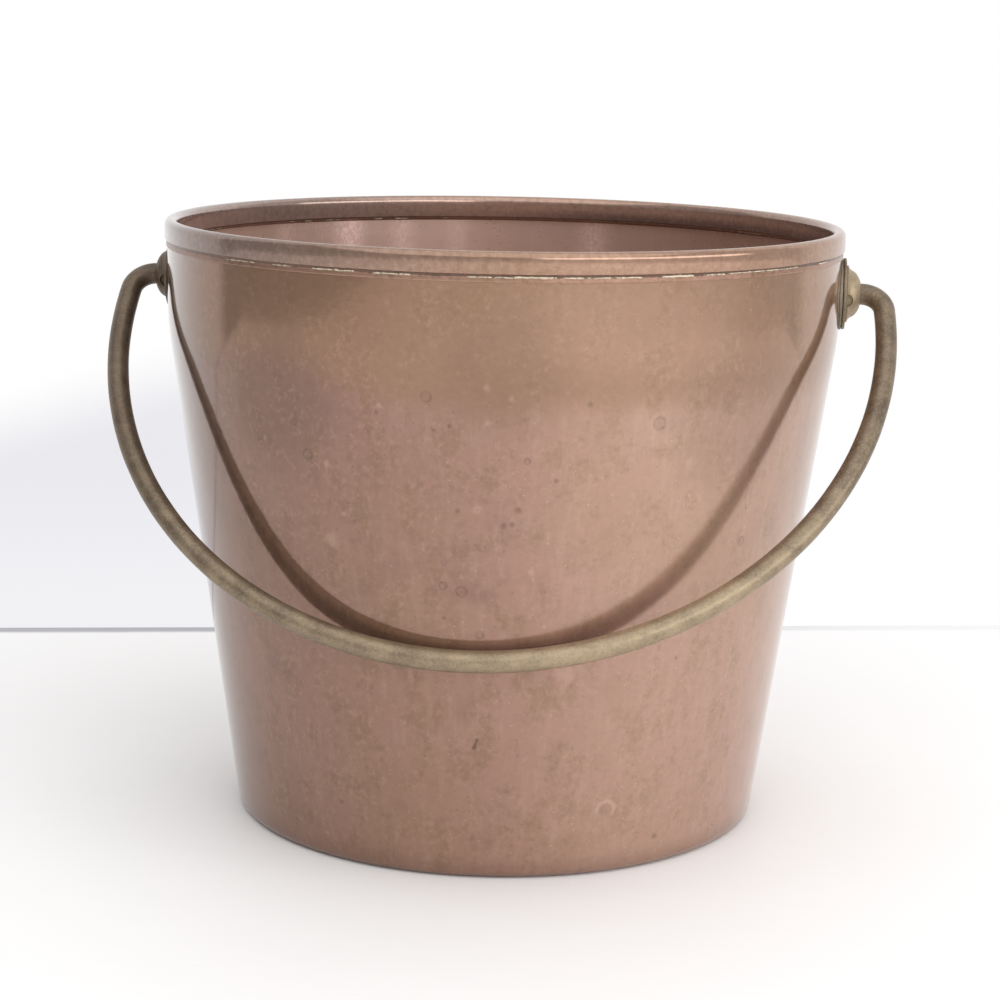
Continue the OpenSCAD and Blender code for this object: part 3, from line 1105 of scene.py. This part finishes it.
class PAIL_OT_body(bpy.types.Operator):
    """Makes the raised copper body"""

    bl_idname = "pail.body"
    bl_label = "Body"

    def execute(self, context):
        sizes, colours, plan = settings(context)
        piece = turn_round_pail("pail_body", body_points(sizes, plan), sizes.turn_steps)
        beat_inwards(piece, 45 * MM, sizes.dent)
        paint(piece, body_finish(colours, plan), inside_finish(colours))
        apply_modifier(piece, "SOLIDIFY", thickness=sizes.sheet, offset=-1, material_offset=1)
        smooth(piece)
        dress(piece, "pail", "copper", "body")
        return {"FINISHED"}


class PAIL_OT_rim(bpy.types.Operator):
    """Makes the folded rim and finishes the hoop inside it"""

    bl_idname = "pail.rim"
    bl_label = "Rim"

    def execute(self, context):
        sizes, colours, plan = settings(context)
        strip = turn_round_pail("rim_strip", rim_points(sizes, plan), sizes.turn_steps)
        smooth(strip)
        paint(strip, rim_finish(colours, plan))
        dress(strip, "pail", "rim_copper", "rim_band")
        hoop = frame["nodes"]["rim_hoop"]
        hoop.data.materials.clear()
        paint(hoop, iron_finish(colours))
        return {"FINISHED"}


class PAIL_OT_seams(bpy.types.Operator):
    """Makes the solder round the rim, outside and inside"""

    bl_idname = "pail.seams"
    bl_label = "Seams"

    def execute(self, context):
        sizes, colours, plan = settings(context)
        skirt = solder_seam("outer_seam", skirt_points(plan), sizes)
        paint(skirt, seam_finish("outer_seam", colours, plan.outer_leg_z, 0.75))
        dress(skirt, "pail", "solder", "outer_rim_solder")
        solder = solder_finish("cream_solder", colours, 0.05)
        runs = OUTER_RUNS + scattered_runs(start=95, end=270, seed=11)
        beads = solder_runs("outer_solder_runs", plan.collar_radius + 0.30 * MM,
                plan.outer_leg_z - 0.75 * MM, runs, 0.44 * MM)
        paint(beads, solder)
        dress(beads, "pail", "solder")
        inner = solder_seam("inner_seam", inner_seam_points(sizes, plan), sizes)
        paint(inner, seam_finish("inner_seam", colours, plan.inner_leg_z, 0.25))
        dress(inner, "pail", "solder", "inner_rim_solder")
        runs = INNER_RUNS + scattered_runs(start=262, end=480, seed=5)
        beads = solder_runs("inner_solder_runs", plan.inner_leg_radius + 0.9 * MM,
                plan.inner_leg_z - 0.55 * MM, runs, 0.42 * MM)
        paint(beads, solder)
        dress(beads, "pail", "solder")
        return {"FINISHED"}


class PAIL_OT_ears(bpy.types.Operator):
    """Makes the two ears: plate, boss and their solder"""

    bl_idname = "pail.ears"
    bl_label = "Ears"

    def execute(self, context):
        sizes, colours, plan = settings(context)
        plate_brass = brass_finish("plate_brass", colours, 0.1, 0.42)
        boss_brass = brass_finish("boss_brass", colours, 0.75, 0.48)
        solder = solder_finish("dirty_solder", colours, 0.8)
        for make, part, slot, finish in (
                (ear_plate, "ear_plate", "ear_brass", plate_brass),
                (ear_boss, "ear_boss", "ear_brass", boss_brass),
                (plate_solder, "plate_solder", "solder", solder),
                (boss_solder, "boss_solder", "solder", solder)):
            right = make(sizes, plan)
            left = mirrored_copy(right, right.name.replace("right", "left"))
            for piece, side in ((right, "right_"), (left, "left_")):
                paint(piece, finish)
                dress(piece, "pail", slot, side + part)
        return {"FINISHED"}


class PAIL_OT_handle(bpy.types.Operator):
    """Makes the bent rod of the handle"""

    bl_idname = "pail.handle"
    bl_label = "Handle"

    def execute(self, context):
        sizes, colours, plan = settings(context)
        piece = bend_rod(sizes, plan, handle_plan(sizes, plan))
        beat_inwards(piece, 14 * MM, 0.14 * MM)
        smooth(piece, 50)
        paint(piece, brass_finish("handle_brass", colours, 0.75, 0.40, 0.085))
        dress(piece, "handle", "handle_brass", "bail")
        return {"FINISHED"}


class PAIL_OT_stage(bpy.types.Operator):
    """Sets the table, the surroundings, the lamps and the camera"""

    bl_idname = "pail.stage"
    bl_label = "Stage"

    def execute(self, context):
        stage = context.scene.pail_stage
        colours = context.scene.pail_colours
        make_table(stage, colours)
        make_surroundings(stage)
        make_lamps(stage)
        make_camera(stage)
        context.scene.view_settings.view_transform = "Standard"
        return {"FINISHED"}


class PAIL_PT_panel(bpy.types.Panel):
    """Lists the steps that make the pail"""

    bl_idname = "PAIL_PT_panel"
    bl_label = "Copper Pail"
    bl_space_type = "VIEW_3D"
    bl_region_type = "UI"
    bl_category = "Pail"

    def draw(self, context):
        column = self.layout.column()
        for step in STEPS:
            column.operator(step.bl_idname)
        for group in (context.scene.pail_sizes, context.scene.pail_colours, context.scene.pail_stage):
            for name in group.bl_rna.properties.keys():
                if name not in ("rna_type", "name"):
                    column.prop(group, name)


STEPS = (PAIL_OT_body, PAIL_OT_rim, PAIL_OT_seams, PAIL_OT_ears, PAIL_OT_handle, PAIL_OT_stage)
CLASSES = (PailSizes, PailColours, StageSizes) + STEPS + (PAIL_PT_panel,)


def register():
    for made in CLASSES:
        bpy.utils.register_class(made)
    bpy.types.Scene.pail_sizes = PointerProperty(type=PailSizes)
    bpy.types.Scene.pail_colours = PointerProperty(type=PailColours)
    bpy.types.Scene.pail_stage = PointerProperty(type=StageSizes)


def unregister():
    del bpy.types.Scene.pail_stage
    del bpy.types.Scene.pail_colours
    del bpy.types.Scene.pail_sizes
    for made in reversed(CLASSES):
        bpy.utils.unregister_class(made)


def main():
    register()
    bpy.ops.pail.body()
    bpy.ops.pail.rim()
    bpy.ops.pail.seams()
    bpy.ops.pail.ears()
    bpy.ops.pail.handle()
    bpy.ops.pail.stage()


if __name__ == "__main__":
    main()
